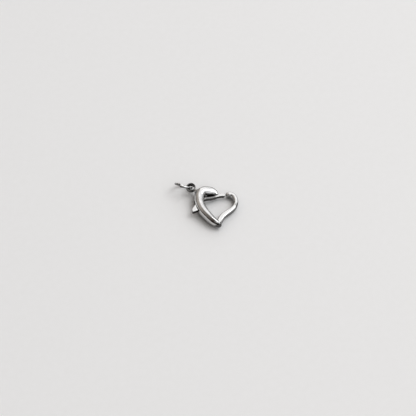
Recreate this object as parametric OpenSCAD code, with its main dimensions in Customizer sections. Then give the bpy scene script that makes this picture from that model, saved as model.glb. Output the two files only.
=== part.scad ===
// Heart-shaped lobster clasp charm, lying on a flat surface.
// The heart is a cast hook. A sprung lever closes the gap between its lobes,
// and an eye on the thick lobe carries a jump ring. Millimetres, +Z up.

/* [Heart] */
// Width of the thick limb at its middle
limb_w = 2.4; // [2.3:0.05:2.5]
// Thickness of the thick limb at its middle
limb_t = 3.2; // [3.1:0.05:3.2]
// Width of the slim hook limb
hook_w = 1.24; // [1.1:0.02:1.3]
// Thickness of the slim hook limb
hook_t = 1.8; // [1.6:0.05:1.8]
// Fullness of the thick limb's section: 2 is an ellipse, more is squarer
fullness = 2.4; // [2:0.1:2.6]
// Fullness of the slim limb's section
hook_fullness = 3.2; // [2:0.1:3.4]

/* [Eye and neck] */
// Diameter of the hole in the eye
eye_hole_d = 1.56; // [1.5:0.02:1.6]
// Width of the eye's wall
eye_wall = 0.42; // [0.38:0.01:0.44]
// Height of the eye along its hole
eye_t = 1.25; // [1.1:0.05:1.3]

/* [Lever and pin] */
// Thickness of the lever
lever_t = 1; // [0.9:0.05:1.1]
// Radius of the round hub that the pin goes through
hub_r = 0.75; // [0.7:0.01:0.8]
// Gap between the lever and each side of its slot
slot_gap = 0.06; // [0.05:0.01:0.1]
// Radius of the pivot pin
pin_r = 0.35; // [0.3:0.01:0.36]
// Running gap between the pin and the lever's bore
pin_gap = 0.03; // [0.02:0.01:0.04]

/* [Jump ring] */
// Diameter of the wire
wire_d = 0.54; // [0.5:0.01:0.58]
// Diameter of the ring through the middle of the wire
ring_d = 4.2; // [4.1:0.05:4.3]
// Angle of the small opening between the ring's two ends
ring_gap_angle = 7; // [4:1:10]
// Lean of the ring away from lying flat
ring_lean = 55; // [54:1:57]
// How far the ring's two ends stand apart sideways, from once being opened
ring_offset = 0.44; // [0:0.02:0.5]

/* [How it lies] */
// Lean of the heart: its slim side is lower, because it is thinner
rest_tilt = 4.86; // [4.8:0.02:4.9]
// Height of the heart's middle plane above the surface, over the origin
rest_h = 1.56; // [1.55:0.01:1.6]

/* [Hidden] */
steel = [0.80, 0.80, 0.79];

// Where the middle of the whole thing's plan is, from the drawing's zero
plan_shift = [-0.25, 0.08];

// Points round a limb's section, between two rows of its table and along the
// round of its end, and points round a wire and along the ring
sides = 30;
steps = 4;
cap_steps = 4;
wire_sides = 16;
ring_steps = 72;
fine = 64;

// Plan of the thick limb's middle line, from the end of the lobe round to
// the point of the heart: x, y, share of limb_w, share of limb_t
THICK = [
    [ 2.88,  2.66, 0.40, 0.52],
    [ 2.40,  3.10, 0.70, 0.66],
    [ 1.64,  3.48, 0.97, 0.77],
    [ 0.68,  3.59, 1.07, 0.86],
    [-0.30,  3.46, 1.07, 0.97],
    [-0.98,  3.01, 1.10, 1.02],
    [-1.35,  2.27, 1.15, 1.00],
    [-1.48,  1.36, 1.13, 1.00],
    [-1.47,  0.19, 1.05, 1.00],
    [-1.15, -1.16, 1.00, 1.00],
    [-0.53, -2.41, 0.99, 0.98],
    [ 0.68, -3.95, 0.93, 0.93],
    [ 1.93, -5.25, 0.86, 0.84],
    [ 2.75, -5.86, 0.74, 0.74],
    [ 3.18, -6.14, 0.58, 0.64]
];

// Plan of the slim limb's middle line, from the hook's tip round to where
// it runs into the thick limb: x, y, share of hook_w, share of hook_t
SLIM = [
    [ 5.34,  2.71, 0.88, 0.84],
    [ 5.77,  2.82, 1.00, 0.95],
    [ 6.45,  2.86, 1.03, 1.00],
    [ 7.08,  2.47, 1.00, 1.00],
    [ 7.50,  1.70, 0.97, 1.00],
    [ 7.68,  0.74, 0.94, 1.00],
    [ 7.45, -0.34, 0.95, 1.00],
    [ 6.90, -1.29, 0.97, 0.92],
    [ 6.07, -2.14, 1.03, 0.86],
    [ 5.17, -2.90, 1.10, 0.82],
    [ 4.34, -3.80, 1.16, 0.84],
    [ 3.70, -4.90, 1.22, 0.90],
    [ 3.36, -5.78, 1.08, 0.98]
];

// The neck between the eye and the lobe: distance from the eye's middle
// towards the lobe, width and thickness
NECK = [
    [0.95, 0.66, 0.70],
    [1.45, 0.92, 1.10],
    [2.20, 1.16, 1.50],
    [2.90, 1.30, 1.80]
];
eye_at = [-3.64, 4.60];
neck_angle = -35.8;
eye_mid_r = eye_hole_d / 2 + eye_wall / 2;

// The lever turns on the pin. Its outline's points are in the heart's plan.
pivot = [-1.45, 0.25];
GATE = [
    [-1.72,  0.80], [-0.60,  1.35], [ 0.60,  1.62], [ 1.70,  1.86], [ 2.50,  2.22],
    [ 3.30,  2.68], [ 4.62,  3.03], [ 4.78,  3.02], [ 4.86,  2.92], [ 4.86,  2.42],
    [ 4.74,  2.30], [ 4.60,  2.25], [ 3.70,  2.13], [ 2.90,  1.88], [ 2.00,  1.48],
    [ 1.20,  1.22], [ 0.20,  1.04], [-0.60,  0.62], [-1.10, -0.26]
];
TAB = [
    [-2.14,  0.20], [-2.35, -0.30], [-2.75, -1.20], [-3.30, -2.20], [-3.24, -2.88],
    [-3.12, -3.02], [-2.95, -3.02], [-1.80, -2.42], [-1.64, -2.30], [-1.58, -2.05],
    [-1.34, -1.20], [-1.00, -0.20]
];

// The slot through the limb leaves room for the lever and its swing
SLOT = [
    [-3.90,  0.40], [-2.45,  0.40], [-2.15,  0.85], [-1.20,  1.42], [-0.30,  1.70],
    [ 0.20,  1.82], [ 0.50,  2.50], [ 1.10,  2.82], [ 2.65,  2.80], [ 4.60,  3.40],
    [ 4.60,  0.60], [ 1.00,  0.00], [-0.20, -0.75], [-0.98, -0.82], [-1.32, -1.35],
    [-1.52, -2.55], [-3.90, -3.30]
];
slot_t = lever_t + 2 * slot_gap;

// The pin's ends stop just inside the limb's crown
pin_len = limb_t - 0.14;

// The jump ring stands on its foot, leans back and passes through the eye.
// Its opening is near the top, this far past the point opposite the foot.
ring_foot = [-5.15, 6.24];
ring_faces = 76;
ring_gap_past = 18;

// Value of one column at t between rows b and c of a table, on a smooth
// curve that passes through every row
function curve(a, b, c, d, t) =
    b + (c - a) / 2 * t
    + (a - 2.5 * b + 2 * c - d / 2) * t * t
    + (-a / 2 + 1.5 * b - 1.5 * c + d / 2) * t * t * t;

// A table's rows with extra rows between them
function smooth(rows) =
    let (last = len(rows) - 1)
    concat(
        [for (k = [0:last - 1], i = [0:steps - 1])
            let (a = rows[max(k - 1, 0)], b = rows[k], c = rows[k + 1], d = rows[min(k + 2, last)])
            [for (col = [0:3]) curve(a[col], b[col], c[col], d[col], i / steps)]],
        [rows[last]]
    );

// Direction of travel at row k
function heading(rows, k) =
    let (a = rows[max(k - 1, 0)], b = rows[min(k + 1, len(rows) - 1)])
    atan2(b[1] - a[1], b[0] - a[0]);

// Rows with full sizes and headings: x, y, half width, half thickness, heading
function sized(rows, w, t) =
    [for (k = [0:len(rows) - 1])
        [rows[k][0], rows[k][1], rows[k][2] * w / 2, rows[k][3] * t / 2, heading(rows, k)]];

// Extra rows that round off an end beyond row r. way is 1 past the last row
// and -1 before the first, reach is the round's length in half widths.
function cap(r, way, reach) =
    [for (i = [1:cap_steps])
        let (
            a = (way > 0 ? i : cap_steps + 1 - i) * 80 / cap_steps,
            far = way * reach * r[2] * sin(a)
        )
        [r[0] + far * cos(r[4]), r[1] + far * sin(r[4]), r[2] * cos(a), r[3] * cos(a), r[4]]];

// Share of a half size, from a circle's share f, in a section that full
function edge(f, full = fullness) = sign(f) * pow(abs(f), 2 / full);

// One closed skin over a row of sections with n points each
module skin(points, n) {
    last = len(points) / n - 1;
    wall = [
        for (k = [0:last - 1], j = [0:n - 1])
            let (p = k * n + j, q = k * n + (j + 1) % n)
            each [[p, q + n, q], [p, p + n, q + n]]
    ];
    start = [for (j = [0:n - 1]) j];
    finish = [for (j = [0:n - 1]) (last + 1) * n - 1 - j];
    polyhedron(points, concat(wall, [start], [finish]), convexity = 8);
}

// A limb of the heart round its sized rows
module limb(rows, full = fullness) {
    skin([
        for (r = rows, j = [0:sides - 1])
            let (
                a = j * 360 / sides,
                across = r[2] * edge(cos(a), full),
                up = r[3] * edge(sin(a), full)
            )
            [r[0] - across * sin(r[4]), r[1] + across * cos(r[4]), up]
    ], sides);
}

module thick_limb() {
    rows = sized(smooth(THICK), limb_w, limb_t);
    limb(concat(cap(rows[0], -1, 0.8), rows, cap(rows[len(rows) - 1], 1, 1.35)));
}

module slim_limb() {
    rows = sized(smooth(SLIM), hook_w, hook_t);
    limb(concat(cap(rows[0], -1, 0.5), rows), hook_fullness);
}

module neck() {
    limb([
        for (r = NECK)
            [eye_at[0] + r[0] * cos(neck_angle), eye_at[1] + r[0] * sin(neck_angle),
                r[1] / 2, r[2] / 2, neck_angle]
    ]);
}

module eye() {
    translate(eye_at)
        rotate_extrude($fn = fine)
            polygon([
                for (a = [0:20:340])
                    [eye_mid_r + eye_wall / 2 * edge(cos(a)), eye_t / 2 * edge(sin(a))]
            ]);
}

// Places the heart's own plan as it lies on the surface
module as_it_lies() {
    translate([plan_shift[0], plan_shift[1], rest_h])
        rotate([0, rest_tilt, 0])
            children();
}

module clasp_body() {
    color(steel)
        as_it_lies()
            difference() {
                union() {
                    thick_limb();
                    slim_limb();
                    neck();
                    eye();
                }
                linear_extrude(height = slot_t, center = true)
                    polygon(SLOT);
                translate(pivot)
                    cylinder(r = pin_r, h = 2 * limb_t, center = true, $fn = fine);
            }
}

module lever() {
    color(steel)
        as_it_lies()
            difference() {
                union() {
                    translate(pivot)
                        cylinder(r = hub_r, h = lever_t, center = true, $fn = fine);
                    linear_extrude(height = lever_t, center = true)
                        polygon(GATE);
                    linear_extrude(height = lever_t, center = true)
                        polygon(TAB);
                }
                translate(pivot)
                    cylinder(r = pin_r + pin_gap, h = 2 * lever_t, center = true, $fn = fine);
            }
}

module pivot_pin() {
    color(steel)
        as_it_lies()
            translate(pivot)
                cylinder(r = pin_r, h = pin_len, center = true, $fn = fine);
}

// The wire turns round from one end to the other, with its foot at the origin
module ring_wire() {
    first = ring_gap_angle / 2 - 180 - ring_gap_past;
    span = 360 - ring_gap_angle;
    skin([
        for (k = [0:ring_steps], j = [0:wire_sides - 1])
            let (
                turn = first + k * span / ring_steps,
                a = j * 360 / wire_sides,
                out = ring_d / 2 - wire_d / 2 * cos(a)
            )
            [out * cos(turn) - ring_d / 2, out * sin(turn),
                wire_d / 2 * sin(a) + ring_offset * turn / 360]
    ], wire_sides);
}

module jump_ring() {
    color(steel)
        translate([ring_foot[0] + plan_shift[0], ring_foot[1] + plan_shift[1], wire_d / 2])
            rotate([0, ring_lean, ring_faces])
                ring_wire();
}

clasp_body();
lever();
pivot_pin();
jump_ring();
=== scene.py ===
"""The looks of a heart-shaped lobster clasp charm with its jump ring.

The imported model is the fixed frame. Every CAD node is replaced by a finer piece of the same form,
built here in millimetres in the heart's own plan, as the solids were, then laid down and turned to metres.
"""
import math

import bmesh
import bpy
import numpy as np
from mathutils import Matrix, Vector


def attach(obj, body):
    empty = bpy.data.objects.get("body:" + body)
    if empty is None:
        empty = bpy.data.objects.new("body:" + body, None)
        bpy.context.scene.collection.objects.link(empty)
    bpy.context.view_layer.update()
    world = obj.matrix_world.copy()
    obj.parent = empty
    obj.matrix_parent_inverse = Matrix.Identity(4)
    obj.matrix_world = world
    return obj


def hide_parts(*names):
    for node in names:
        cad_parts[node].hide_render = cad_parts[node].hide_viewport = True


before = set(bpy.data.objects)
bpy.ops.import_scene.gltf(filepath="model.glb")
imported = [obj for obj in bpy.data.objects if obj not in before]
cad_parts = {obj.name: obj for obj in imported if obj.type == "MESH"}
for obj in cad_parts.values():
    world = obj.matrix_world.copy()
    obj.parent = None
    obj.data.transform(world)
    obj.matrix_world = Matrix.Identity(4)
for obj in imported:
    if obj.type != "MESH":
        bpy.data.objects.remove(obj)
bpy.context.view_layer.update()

MM = 0.001

# How the heart lies: tilted onto its flat side, raised, and shifted so that the whole part is central
PLAN_SHIFT = (-0.25, 0.08)
REST_H = 1.56
REST_TILT = math.radians(4.86)
LYING = Matrix.Translation((*PLAN_SHIFT, REST_H)) @ Matrix.Rotation(REST_TILT, 4, "Y")

# Widths and thicknesses of the thick limb and of the slim one, in millimetres as the sizes that follow
LIMB_W, LIMB_T = 2.4, 3.2
HOOK_W, HOOK_T = 1.24, 1.8
# How full a section is: 2 is an ellipse, less is pointed and more is squarer
FULLNESS, TIP_FULLNESS, HOOK_FULLNESS = 2.4, 1.6, 3.2
# The share of the thick limb's length where its section starts to change to the tip's
TIP_FROM = 0.67

# The middle line of the thick limb: x, y, share of LIMB_W, share of LIMB_T
THICK = [
    (2.88, 2.66, 0.40, 0.52), (2.40, 3.10, 0.70, 0.66), (1.64, 3.48, 0.97, 0.77),
    (0.68, 3.59, 1.07, 0.86), (-0.30, 3.46, 1.07, 0.97), (-0.98, 3.01, 1.10, 1.02),
    (-1.35, 2.27, 1.15, 1.00), (-1.48, 1.36, 1.13, 1.00), (-1.47, 0.19, 1.05, 1.00),
    (-1.15, -1.16, 1.00, 1.00), (-0.53, -2.41, 0.99, 0.98), (0.68, -3.95, 0.93, 0.93),
    (1.93, -5.25, 0.86, 0.84), (2.75, -5.86, 0.74, 0.74), (3.18, -6.14, 0.58, 0.64),
]
# The middle line of the slim limb: x, y, share of HOOK_W, share of HOOK_T
SLIM = [
    (5.34, 2.71, 0.88, 0.84), (5.77, 2.82, 1.00, 0.95), (6.45, 2.86, 1.03, 1.00),
    (7.08, 2.47, 1.00, 1.00), (7.50, 1.70, 0.97, 1.00), (7.68, 0.74, 0.94, 1.00),
    (7.45, -0.34, 0.95, 1.00), (6.90, -1.29, 0.97, 0.92), (6.07, -2.14, 1.03, 0.86),
    (5.17, -2.90, 1.10, 0.82), (4.34, -3.80, 1.16, 0.84), (3.70, -4.90, 1.22, 0.90),
    (3.36, -5.78, 1.08, 0.98),
]

EYE_AT = (-3.64, 4.60)
EYE_HOLE_R, EYE_WALL, EYE_T = 0.78, 0.42, 1.25
NECK_ANGLE = math.radians(-35.8)
# The neck: distance from the eye's middle, width, thickness
NECK = [(0.95, 0.66, 0.70), (1.45, 0.92, 1.10), (2.20, 1.16, 1.50), (2.90, 1.30, 1.80)]

# The lever's thickness, the slot's, and the radii of hub, bores and pin
LEVER_T, SLOT_T = 1.0, 1.12
PIVOT = (-1.45, 0.25)
HUB_R, LEVER_BORE_R = 0.75, 0.38
PIN_R, PIN_BORE_R = 0.35, 0.358
LEVER_EDGE = 0.20
# The lever's outline, in stretches from the gate's root round to the hub
GATE_TOP = [
    (-1.72, 0.80), (-0.60, 1.35), (0.60, 1.62), (1.70, 1.86), (2.50, 2.22), (3.30, 2.68), (4.62, 3.03),
]
GATE_END = [(4.78, 3.02), (4.86, 2.92), (4.86, 2.42), (4.74, 2.30)]
GATE_FOOT = [
    (4.60, 2.25), (3.70, 2.13), (2.90, 1.88), (2.00, 1.48), (1.20, 1.22), (0.20, 1.04), (-0.60, 0.62),
]
TAB_INNER = [(-1.00, -0.20), (-1.34, -1.20), (-1.58, -2.05)]
TAB_END = [(-1.64, -2.30), (-1.80, -2.42), (-2.95, -3.02), (-3.12, -3.02), (-3.24, -2.88)]
TAB_OUTER = [(-3.30, -2.20), (-2.75, -1.20), (-2.35, -0.30), (-2.14, 0.20)]
# The slot's outline: the room that the lever sweeps, open at both sides of the thick limb
SLOT = [
    (-3.90, 0.40), (-2.45, 0.40), (-2.15, 0.85), (-1.20, 1.42), (-0.30, 1.70), (0.20, 1.82),
    (0.50, 2.50), (1.10, 2.82), (2.65, 2.80), (4.60, 3.40), (4.60, 0.60), (1.00, 0.00),
    (-0.20, -0.75), (-0.98, -0.82), (-1.32, -1.35), (-1.52, -2.55), (-3.90, -3.30),
]

# The jump ring: its wire, its cut, and how it leans through the eye with its foot on the surface
WIRE_R, RING_R = 0.27, 2.1
WIRE_CHAMFER, WIRE_END_R = 0.03, 0.02
RING_GAP, RING_GAP_PAST = math.radians(7), math.radians(18)
RING_OFFSET = 0.44
RING_LEAN, RING_FACES = math.radians(55), math.radians(76)
RING_FOOT = (-5.15, 6.24)

# How fine the meshes are: points round a section, sections along a piece, and the fused heart's voxels
LIMB_SIDES, EYE_SIDES, WIRE_SIDES, ROD_SIDES = 72, 32, 32, 96
THICK_STEPS, SLIM_STEPS, NECK_STEPS, EYE_STEPS, RING_STEPS = 220, 180, 40, 128, 260
CAP_TURNS = np.radians(np.linspace(8, 86, 12))
VOXEL = 0.06
SMOOTHING_ROUNDS = 14

# Spots of painted shade, as the part lies: middle, inner and outer radius, and the share of the brighter
# tone left in the middle
EYE_SHADE = (LYING @ Vector((*EYE_AT, 0)), 1.15, 1.75, 0.12)
POINT_SHADE = (Vector((3.10, -6.95, 1.40)), 0.75, 1.20, 0)
LOBE_SHADE = (Vector((7.87, -0.60, 1.38)), 0.64, 1.02, 0.1)
HUB_SHADE = (Vector((1.00, 1.35, 1.90)), 1.20, 1.90, 0.25)
RING_SHADE = (Vector((-7.70, 5.60, 2.10)), 0.70, 1.40, 0)
# Painted shade on the sides towards +X: where along X, from and to, it sets in, how much higher up every
# side it reaches, and how much more on those that face +X
SIDE_SHADE = (2.15, 2.95, 0.05, 0.42)

# The floor's size in metres
FLOOR_SIZE = 4.0
# The room's light, dim all round, and its glows: azimuth and elevation of the middle, how many degrees
# round it are even, where it has faded out, and colour. A grey wall behind at the left, pale all over the
# right, and grey patches high up in front and behind
DIM = (0.046, 0.037, 0.030)
GLOWS = [
    (-45, 20, 20, 86, (0.44, 0.408, 0.376)),
    (80, -15, 96, 108, (0.865, 0.89, 0.92)),
    (182, 47, 6, 24, (0.24, 0.24, 0.24)),
    (12, 56, 10, 40, (0.24, 0.24, 0.25)),
]

# The photograph's view: from 55 degrees up, 0.25 mm to a pixel, aimed just beside the charm's middle
VIEW_UP = math.radians(55)
IMAGE_SIDE, PIXEL = 416, 0.25
VIEW_WIDTH = IMAGE_SIDE * PIXEL * MM
AIM = Vector((0.425 * MM, -0.226 * MM, 0))
LENS, SENSOR = 120, 36


def spline(rows, count):
    """A smooth curve with even curvature through the rows, as count rows evenly spaced along it."""
    rows = np.array(rows, float)
    step = np.hypot(*np.diff(rows[:, :2], axis=0).T)
    at = np.concatenate([[0], np.cumsum(step)])
    n = len(rows)
    # natural cubic spline: the second derivatives at the rows
    a = np.zeros((n, n))
    b = np.zeros((n, rows.shape[1]))
    a[0, 0] = a[-1, -1] = 1
    for k in range(1, n - 1):
        a[k, k - 1:k + 2] = step[k - 1], 2 * (step[k - 1] + step[k]), step[k]
        b[k] = 6 * ((rows[k + 1] - rows[k]) / step[k] - (rows[k] - rows[k - 1]) / step[k - 1])
    bend = np.linalg.solve(a, b)
    fine = np.linspace(0, at[-1], count)
    k = np.clip(np.searchsorted(at, fine, side="right") - 1, 0, n - 2)
    h = step[k][:, None]
    u = ((at[k + 1] - fine) / step[k])[:, None]
    v = 1 - u
    return (u * rows[k] + v * rows[k + 1]
            + ((u**3 - u) * bend[k] + (v**3 - v) * bend[k + 1]) * h**2 / 6)


def smooth_path(points, count):
    """A smooth line through the points of a plan, as count points."""
    return [tuple(p) for p in spline([(*p, 0) for p in points], count)[:, :2]]


def round_angles(count):
    """Angles evenly spaced round a circle."""
    return np.linspace(0, 2 * math.pi, count, endpoint=False)


def arc(centre, radius, start, end, count):
    """Points on a circle's arc, from one angle to another in degrees."""
    a = np.radians(np.linspace(start, end, count))
    return [(centre[0] + radius * math.cos(t), centre[1] + radius * math.sin(t)) for t in a]


def edge(f, fullness=FULLNESS):
    """A superellipse's share of its half size, from a circle's."""
    return np.sign(f) * np.abs(f) ** (2 / fullness)


def new_object(name, mesh):
    """A new object of that mesh, in the scene."""
    piece = bpy.data.objects.new(name, mesh)
    bpy.context.scene.collection.objects.link(piece)
    return piece


def mesh_object(name, points, faces):
    """A new object of those points and faces, in the scene."""
    mesh = bpy.data.meshes.new(name)
    mesh.from_pydata([tuple(p) for p in points], [], faces)
    mesh.validate()
    return new_object(name, mesh)


def tube_faces(rings, sides, closed=False):
    """Quads between rings of points, with a face over each end unless it is closed into a loop."""
    faces = []
    for k in range(rings if closed else rings - 1):
        for j in range(sides):
            p, q = k * sides + j, k * sides + (j + 1) % sides
            r, s = ((k + 1) % rings) * sides + (j + 1) % sides, ((k + 1) % rings) * sides + j
            faces.append((p, s, r, q))
    if not closed:
        faces.append(tuple(range(sides)))
        faces.append(tuple(reversed(range((rings - 1) * sides, rings * sides))))
    return faces


def cap(row, way, reach):
    """Rows that round off a limb past its first row, way -1, or its last, way 1, by reach half widths."""
    x, y, w, t, heading = row
    out = []
    for a in CAP_TURNS[::way]:
        far = way * reach * w * math.sin(a)
        out.append((x + far * math.cos(heading), y + far * math.sin(heading),
                    w * math.cos(a), t * math.cos(a), heading))
    return out


def limb(name, rows, count, start_reach=0, end_reach=0, fullness=FULLNESS, end_fullness=FULLNESS):
    """A limb round its middle line, of rows with x, y, half width and half thickness. Its ends are rounded
    over their reach, where they have one."""
    rows = spline(rows, count)
    heading = np.arctan2(np.gradient(rows[:, 1]), np.gradient(rows[:, 0]))
    sized = [(*r, h) for r, h in zip(rows, heading)]
    if start_reach:
        sized = cap(sized[0], -1, start_reach) + sized
    if end_reach:
        sized = sized + cap(sized[-1], 1, end_reach)
    a = round_angles(LIMB_SIDES)
    full = np.interp(np.linspace(0, 1, len(sized)), (TIP_FROM, 1), (fullness, end_fullness))
    points = []
    for (x, y, w, t, h), f in zip(sized, full):
        across, up = edge(np.cos(a), f), edge(np.sin(a), f)
        points += list(np.c_[x - w * across * math.sin(h), y + w * across * math.cos(h), t * up])
    return mesh_object(name, points, tube_faces(len(sized), LIMB_SIDES))


def prism(name, outline, height):
    """An upright plate of that outline, as thick as height about the middle plane."""
    n = len(outline)
    area = sum(outline[k - 1][0] * outline[k][1] - outline[k][0] * outline[k - 1][1] for k in range(n)) / 2
    if area < 0:
        outline = outline[::-1]
    points = [(x, y, -height / 2) for x, y in outline] + [(x, y, height / 2) for x, y in outline]
    faces = [tuple(reversed(range(n))), tuple(range(n, 2 * n))]
    faces += [(j, (j + 1) % n, n + (j + 1) % n, n + j) for j in range(n)]
    return mesh_object(name, points, faces)


def rod(name, radius, height):
    """An upright rod on the pivot."""
    a = round_angles(ROD_SIDES)
    outline = np.c_[PIVOT[0] + radius * np.cos(a), PIVOT[1] + radius * np.sin(a)]
    return prism(name, outline, height)


def apply_modifiers(piece):
    """Bakes the piece's modifiers into its mesh."""
    graph = bpy.context.evaluated_depsgraph_get()
    mesh = bpy.data.meshes.new_from_object(piece.evaluated_get(graph))
    old = piece.data
    piece.modifiers.clear()
    piece.data = mesh
    bpy.data.meshes.remove(old)


def carve(piece, tool, operation="DIFFERENCE", keep_tool=False):
    """Cuts the tool out of the piece, or keeps what they share. New faces get the tool's material."""
    cut = piece.modifiers.new("cut", "BOOLEAN")
    cut.operation = operation
    cut.solver = "EXACT"
    cut.material_mode = "TRANSFER"
    cut.object = tool
    apply_modifiers(piece)
    if not keep_tool:
        bpy.data.objects.remove(tool)


def join(name, pieces):
    """One mesh of several."""
    whole = bmesh.new()
    for piece in pieces:
        whole.from_mesh(piece.data)
        bpy.data.objects.remove(piece)
    mesh = bpy.data.meshes.new(name)
    whole.to_mesh(mesh)
    whole.free()
    return new_object(name, mesh)


def fuse(piece):
    """Makes one skin of a mesh of several parts that overlap."""
    skin = piece.modifiers.new("fuse", "REMESH")
    skin.mode = "VOXEL"
    skin.voxel_size = VOXEL
    apply_modifiers(piece)


def even_out(piece, rounds, gain=0.5, back=-0.53):
    """Takes the small steps out of a mesh and keeps its volume: each round smooths and then swells back."""
    mesh = piece.data
    n = len(mesh.vertices)
    co = np.empty(n * 3)
    mesh.vertices.foreach_get("co", co)
    co = co.reshape(n, 3)
    ends = np.empty(len(mesh.edges) * 2, int)
    mesh.edges.foreach_get("vertices", ends)
    a, b = ends.reshape(-1, 2).T
    count = np.bincount(np.r_[a, b], minlength=n)[:, None]
    for pull in (gain, back) * rounds:
        total = np.empty_like(co)
        for axis in range(3):
            total[:, axis] = np.bincount(a, co[b, axis], n) + np.bincount(b, co[a, axis], n)
        co = co + pull * (total / count - co)
    mesh.vertices.foreach_set("co", co.ravel())
    mesh.update()


def give_material(piece, material):
    """Makes that material the piece's only one."""
    piece.data.materials.clear()
    piece.data.materials.append(material)


def lay_down(piece):
    """Turns a piece made in the heart's plan, in millimetres, to where it lies, in metres."""
    piece.data.transform(Matrix.Scale(MM, 4) @ LYING)


def shade_smooth(piece, sharp_above):
    """Smooth shading, but for the edges sharper than that angle in degrees."""
    piece.data.shade_smooth()
    piece.data.set_sharp_from_angle(angle=math.radians(sharp_above))


def neck_part():
    """The neck, from the eye into the thick limb."""
    c, s = math.cos(NECK_ANGLE), math.sin(NECK_ANGLE)
    rows = [(EYE_AT[0] + d * c, EYE_AT[1] + d * s, w / 2, t / 2) for d, w, t in NECK]
    return limb("neck_part", rows, NECK_STEPS)


def eye_part():
    """The eye: a ring of rounded section."""
    a = round_angles(EYE_SIDES)
    mid_r = EYE_HOLE_R + EYE_WALL / 2
    points = []
    for t in round_angles(EYE_STEPS):
        r = mid_r + EYE_WALL / 2 * edge(np.cos(a))
        points += list(np.c_[EYE_AT[0] + r * math.cos(t), EYE_AT[1] + r * math.sin(t),
                             EYE_T / 2 * edge(np.sin(a))])
    return mesh_object("eye", points, tube_faces(EYE_STEPS, EYE_SIDES, closed=True))


def heart_hook(shade_to_polish, painted_shade_steel):
    """The cast heart: two limbs, neck and eye fused with small fillets, then slotted, the slot's walls
    near-black as painted shade.
    """
    thick_rows = [(x, y, w * LIMB_W / 2, t * LIMB_T / 2) for x, y, w, t in THICK]
    slim_rows = [(x, y, w * HOOK_W / 2, t * HOOK_T / 2) for x, y, w, t in SLIM]
    thick = limb("thick_limb", thick_rows, THICK_STEPS, start_reach=0.8, end_reach=1.35,
                 end_fullness=TIP_FULLNESS)
    slim = limb("slim_limb", slim_rows, SLIM_STEPS, start_reach=0.5,
                fullness=HOOK_FULLNESS, end_fullness=HOOK_FULLNESS)
    piece = join("heart_hook", [thick, slim, neck_part(), eye_part()])
    fuse(piece)
    even_out(piece, SMOOTHING_ROUNDS)
    give_material(piece, shade_to_polish)
    slot_tool = prism("slot_tool", SLOT, SLOT_T)
    give_material(slot_tool, painted_shade_steel)
    carve(piece, slot_tool)
    return piece


def pin_ends(body, material):
    """The pin, its ends ground and buffed flush with the limb."""
    piece = rod("pin", PIN_R, 2 * LIMB_T)
    carve(piece, body, "INTERSECT", keep_tool=True)
    give_material(piece, material)
    return piece


def bore_pin_hole(body, material):
    """The bore for the pin, right through the thick limb, its walls near-black as painted shade."""
    tool = rod("pin_hole_tool", PIN_BORE_R, 2 * LIMB_T)
    give_material(tool, material)
    carve(body, tool)


def lever_piece(material):
    """The flat sprung lever, with rounded edges."""
    outline = (smooth_path(GATE_TOP, count=28) + GATE_END + smooth_path(GATE_FOOT, count=28)
               + smooth_path(TAB_INNER, count=10) + TAB_END + smooth_path(TAB_OUTER, count=14)
               + arc(PIVOT, HUB_R, start=176, end=118, count=8))
    piece = prism("gate_lever", outline, LEVER_T)
    bevel = piece.modifiers.new("edges", "BEVEL")
    bevel.width = LEVER_EDGE
    bevel.segments = 4
    bevel.limit_method = "ANGLE"
    bevel.angle_limit = math.radians(60)
    apply_modifiers(piece)
    carve(piece, rod("bore_tool", LEVER_BORE_R, 2 * LEVER_T))
    give_material(piece, material)
    return piece


def jump_ring(material):
    """One wire ring, leaning on the surface through the eye, its two cut ends a little apart."""
    a = round_angles(WIRE_SIDES)
    first = RING_GAP / 2 - math.pi - RING_GAP_PAST
    last = first + 2 * math.pi - RING_GAP
    back = WIRE_CHAMFER / RING_R
    cut_r = WIRE_R - WIRE_CHAMFER
    turns = np.r_[first, first, np.linspace(first + back, last - back, RING_STEPS), last, last]
    radii = np.r_[WIRE_END_R, cut_r, np.full(RING_STEPS, WIRE_R), cut_r, WIRE_END_R]
    points = []
    for turn, radius in zip(turns, radii):
        out = RING_R - radius * np.cos(a)
        points += list(np.c_[out * math.cos(turn) - RING_R, out * math.sin(turn),
                             radius * np.sin(a) + RING_OFFSET * turn / (2 * math.pi)])
    piece = mesh_object("jump_ring_wire", points, tube_faces(len(turns), WIRE_SIDES))
    foot = Matrix.Translation((RING_FOOT[0] + PLAN_SHIFT[0], RING_FOOT[1] + PLAN_SHIFT[1], WIRE_R))
    lean = Matrix.Rotation(RING_FACES, 4, "Z") @ Matrix.Rotation(RING_LEAN, 4, "Y")
    piece.data.transform(Matrix.Scale(MM, 4) @ foot @ lean)
    give_material(piece, material)
    return piece


def put(tree, value, socket):
    """Sets the socket to a plain value, or links it to the output that is given as the value."""
    if isinstance(value, bpy.types.NodeSocket):
        tree.links.new(value, socket)
    else:
        socket.default_value = value


def calculate(tree, operation, *values):
    """The result of a math node on those values."""
    node = tree.nodes.new("ShaderNodeMath")
    node.operation = operation
    for value, socket in zip(values, node.inputs):
        put(tree, value, socket)
    return node.outputs["Value"]


def vector_node(tree, operation, first, second):
    """A vector math node on two vectors, or on a vector and its scale."""
    node = tree.nodes.new("ShaderNodeVectorMath")
    node.operation = operation
    put(tree, first, node.inputs[0])
    put(tree, second, node.inputs["Scale"] if operation == "SCALE" else node.inputs[1])
    return node


def axis_of(tree, vector, axis):
    """One axis of a vector."""
    node = tree.nodes.new("ShaderNodeSeparateXYZ")
    put(tree, vector, node.inputs["Vector"])
    return node.outputs[axis]


def fade(tree, value, start, end, low=0.0, high=1.0, soft=False):
    """Goes from low to high while the value goes from start to end, evenly or with a soft start and end."""
    node = tree.nodes.new("ShaderNodeMapRange")
    node.interpolation_type = "SMOOTHSTEP" if soft else "LINEAR"
    put(tree, value, node.inputs["Value"])
    put(tree, start, node.inputs["From Min"])
    put(tree, end, node.inputs["From Max"])
    put(tree, low, node.inputs["To Min"])
    put(tree, high, node.inputs["To Max"])
    return node.outputs["Result"]


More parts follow.
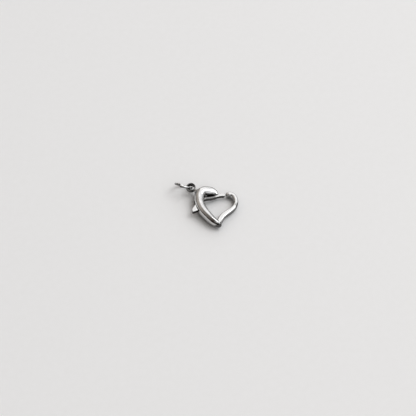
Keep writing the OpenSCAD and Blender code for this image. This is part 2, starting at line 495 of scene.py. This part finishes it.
def noise(tree, place, scale, detail):
    """A cloudy pattern, 0 to 1."""
    node = tree.nodes.new("ShaderNodeTexNoise")
    put(tree, place, node.inputs["Vector"])
    put(tree, scale, node.inputs["Scale"])
    put(tree, detail, node.inputs["Detail"])
    return node.outputs["Fac"]


def stretched(tree, place, scale, turn):
    """Places turned and stretched, for a pattern with a grain."""
    node = tree.nodes.new("ShaderNodeMapping")
    put(tree, place, node.inputs["Vector"])
    put(tree, scale, node.inputs["Scale"])
    put(tree, turn, node.inputs["Rotation"])
    return node.outputs["Vector"]


def new_material(name):
    """An empty material, its node tree and its shader."""
    material = bpy.data.materials.new(name)
    material.use_nodes = True
    return material, material.node_tree, material.node_tree.nodes["Principled BSDF"]


def colour(tree, shader, share, low, high):
    """Gives the shader a colour between low, where share is 0, and high, where it is 1."""
    node = tree.nodes.new("ShaderNodeMix")
    node.data_type = "RGBA"
    put(tree, share, node.inputs["Factor"])
    put(tree, (*low, 1), node.inputs["A"])
    put(tree, (*high, 1), node.inputs["B"])
    put(tree, node.outputs["Result"], shader.inputs["Base Color"])


def relief(tree, shader, height, strength, distance):
    """Gives the shader a fine relief."""
    node = tree.nodes.new("ShaderNodeBump")
    put(tree, height, node.inputs["Height"])
    put(tree, strength, node.inputs["Strength"])
    put(tree, distance, node.inputs["Distance"])
    put(tree, node.outputs["Normal"], shader.inputs["Normal"])


def metal(name, shaded_tone, lit_tone, roughness, shade_to_polish, shade_spots=(), side_shade=None):
    """Steel with faint tone changes, uneven polish and very fine scratches, and painted shade. Its colour
    goes from the darker tone, where the height of its normal is the first of the two heights or less, to
    the brighter, where it is the second or more, so that sides and undersides are painted darker as shade;
    it is painted darker still in the shade spots and on the shaded side, which are rows as at the top."""
    material, tree, shader = new_material(name)
    shader.inputs["Metallic"].default_value = 1.0
    coordinates = tree.nodes.new("ShaderNodeTexCoord")
    place, normal = coordinates.outputs["Object"], coordinates.outputs["Normal"]
    cloud = noise(tree, place, scale=900, detail=5)
    height = axis_of(tree, normal, "Z")
    # Painted shade on the sides towards +X: their normals count as lower there, so they take more of the
    # darker tone
    if side_shade:
        start, end, every_side, facing_x = side_shade
        most = calculate(tree, "MULTIPLY_ADD", axis_of(tree, normal, "X"), facing_x, every_side)
        shade_along_x = fade(tree, axis_of(tree, place, "X"), start * MM, end * MM, high=most)
        height = calculate(tree, "SUBTRACT", height, shade_along_x)
    # Painted shade: the brighter tone's share falls as the normal turns sideways and down
    share = calculate(tree, "MULTIPLY", fade(tree, height, *shade_to_polish, soft=True),
                      fade(tree, cloud, start=0.3, end=0.7, low=0.78))
    # Painted shade in spots: darker in the middle, fading out between inner and outer radius
    for middle, inner, outer, left in shade_spots:
        away = vector_node(tree, "DISTANCE", place, middle * MM).outputs["Value"]
        share = calculate(tree, "MULTIPLY", share, fade(tree, away, inner * MM, outer * MM, low=left))
    colour(tree, shader, share, shaded_tone, lit_tone)
    haze = fade(tree, cloud, start=0, end=1, low=roughness * 0.7, high=roughness * 1.4)
    put(tree, haze, shader.inputs["Roughness"])
    grain = stretched(tree, place, scale=(1, 9, 3), turn=(0.4, 0.2, 0.7))
    relief(tree, shader, noise(tree, grain, scale=4000, detail=3), strength=0.25, distance=0.004 * MM)
    return material


def paper():
    """Smooth pale paper with a faint grain."""
    material, tree, shader = new_material("pale_paper")
    shader.inputs["Roughness"].default_value = 0.9
    place = tree.nodes.new("ShaderNodeTexCoord").outputs["Object"]
    fibre = noise(tree, place, scale=700, detail=6)
    colour(tree, shader, fibre, (0.875, 0.87, 0.862), (0.905, 0.902, 0.898))
    relief(tree, shader, fibre, strength=0.2, distance=0.03 * MM)
    return material


def finish_piece(piece, body, node):
    """Says which body the piece rides on and which CAD node it replaces."""
    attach(piece, body)
    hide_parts(node)


def toward(azimuth, elevation, distance=1):
    """A place seen from the origin at that azimuth, from +Y towards +X, and elevation, in degrees."""
    az, el = math.radians(azimuth), math.radians(elevation)
    return Vector((math.sin(az) * math.cos(el), math.cos(az) * math.cos(el), math.sin(el))) * distance


def softbox(name, place, width, height, radiance):
    """A soft rectangle of even light at that place, facing the origin. Its width lies level."""
    light = bpy.data.lights.new(name, "AREA")
    light.shape = "RECTANGLE"
    light.size = width
    light.size_y = height
    light.energy = radiance * math.pi * width * height
    lamp = bpy.data.objects.new(name, light)
    lamp.location = place
    lamp.rotation_euler = place.to_track_quat("Z", "Y").to_euler()
    bpy.context.scene.collection.objects.link(lamp)


def glow(tree, way, azimuth, elevation, full, none, tint):
    """A glow in the sky: even within full degrees of its middle, fading to nothing at none degrees."""
    nearness = vector_node(tree, "DOT_PRODUCT", way, toward(azimuth, elevation)).outputs["Value"]
    shine = fade(tree, nearness, math.cos(math.radians(none)), math.cos(math.radians(full)), soft=True)
    return vector_node(tree, "SCALE", tint, shine).outputs["Vector"]


def room_light():
    """The room's glows over its dim light, dark low down all round."""
    world = bpy.data.worlds.new("room")
    bpy.context.scene.world = world
    world.use_nodes = True
    tree = world.node_tree
    way = tree.nodes.new("ShaderNodeTexCoord").outputs["Generated"]
    total = tree.nodes.new("ShaderNodeRGB").outputs["Color"]
    total.default_value = (*DIM, 1)
    for row in GLOWS:
        total = vector_node(tree, "ADD", total, glow(tree, way, *row)).outputs["Vector"]
    background = tree.nodes["Background"]
    put(tree, total, background.inputs["Color"])
    low_down = fade(tree, axis_of(tree, way, "Z"), start=0.10, end=0.36, low=0.05, soft=True)
    put(tree, low_down, background.inputs["Strength"])


def photo_camera():
    """The camera of the photograph's view."""
    data = bpy.data.cameras.new("camera")
    data.lens = LENS
    data.sensor_width = SENSOR
    data.clip_start = 0.01
    data.clip_end = 20
    camera = bpy.data.objects.new("camera", data)
    back = Vector((0, -math.cos(VIEW_UP), math.sin(VIEW_UP)))
    camera.location = AIM + back * VIEW_WIDTH * LENS / SENSOR
    camera.rotation_euler = back.to_track_quat("Z", "Y").to_euler()
    bpy.context.scene.collection.objects.link(camera)
    return camera


# Every steel takes its darker tone on sides and undersides as painted shade; the lever's and the ring's go
# near black
cast_steel = metal("cast_steel", shaded_tone=(0.10, 0.097, 0.094), lit_tone=(0.68, 0.675, 0.665), roughness=0.09,
                   shade_to_polish=(-0.35, 0.55), shade_spots=(EYE_SHADE, POINT_SHADE, LOBE_SHADE),
                   side_shade=SIDE_SHADE)
# Near-black steel for the slot's and the bore's walls: painted shade
slot_painted_shade = metal("slot_painted_shade", shaded_tone=(0.03, 0.028, 0.027), lit_tone=(0.06, 0.056, 0.052), roughness=0.40,
                   shade_to_polish=(-0.15, 0.55))
lever_steel = metal("lever_steel", shaded_tone=(0.06, 0.058, 0.056), lit_tone=(0.66, 0.655, 0.645), roughness=0.11,
                    shade_to_polish=(0.1, 0.75), shade_spots=(HUB_SHADE,))
wire_steel = metal("wire_steel", shaded_tone=(0.03, 0.028, 0.026), lit_tone=(0.68, 0.675, 0.665), roughness=0.10,
                   shade_to_polish=(0.25, 0.85), shade_spots=(RING_SHADE,))

heart = heart_hook(cast_steel, slot_painted_shade)
pin = pin_ends(heart, cast_steel)
bore_pin_hole(heart, slot_painted_shade)
gate = lever_piece(lever_steel)
for piece in (heart, pin, gate):
    lay_down(piece)
ring = jump_ring(wire_steel)
shade_smooth(heart, sharp_above=40)
shade_smooth(pin, sharp_above=40)
shade_smooth(gate, sharp_above=45)
shade_smooth(ring, sharp_above=60)

finish_piece(heart, "clasp", "clasp_body")
finish_piece(pin, "clasp", "pivot_pin")
finish_piece(gate, "lever", "lever")
finish_piece(ring, "clasp", "jump_ring")

bpy.ops.mesh.primitive_plane_add(size=FLOOR_SIZE)
floor = bpy.context.object
floor.name = "floor"
give_material(floor, paper())

# A skylight high up at the right, over the light of the room
skylight_place = toward(azimuth=67, elevation=57, distance=0.7)
softbox("skylight", skylight_place, width=0.40, height=0.38, radiance=2.9)
room_light()
bpy.context.scene.camera = photo_camera()
bpy.context.scene.view_settings.view_transform = "Standard"
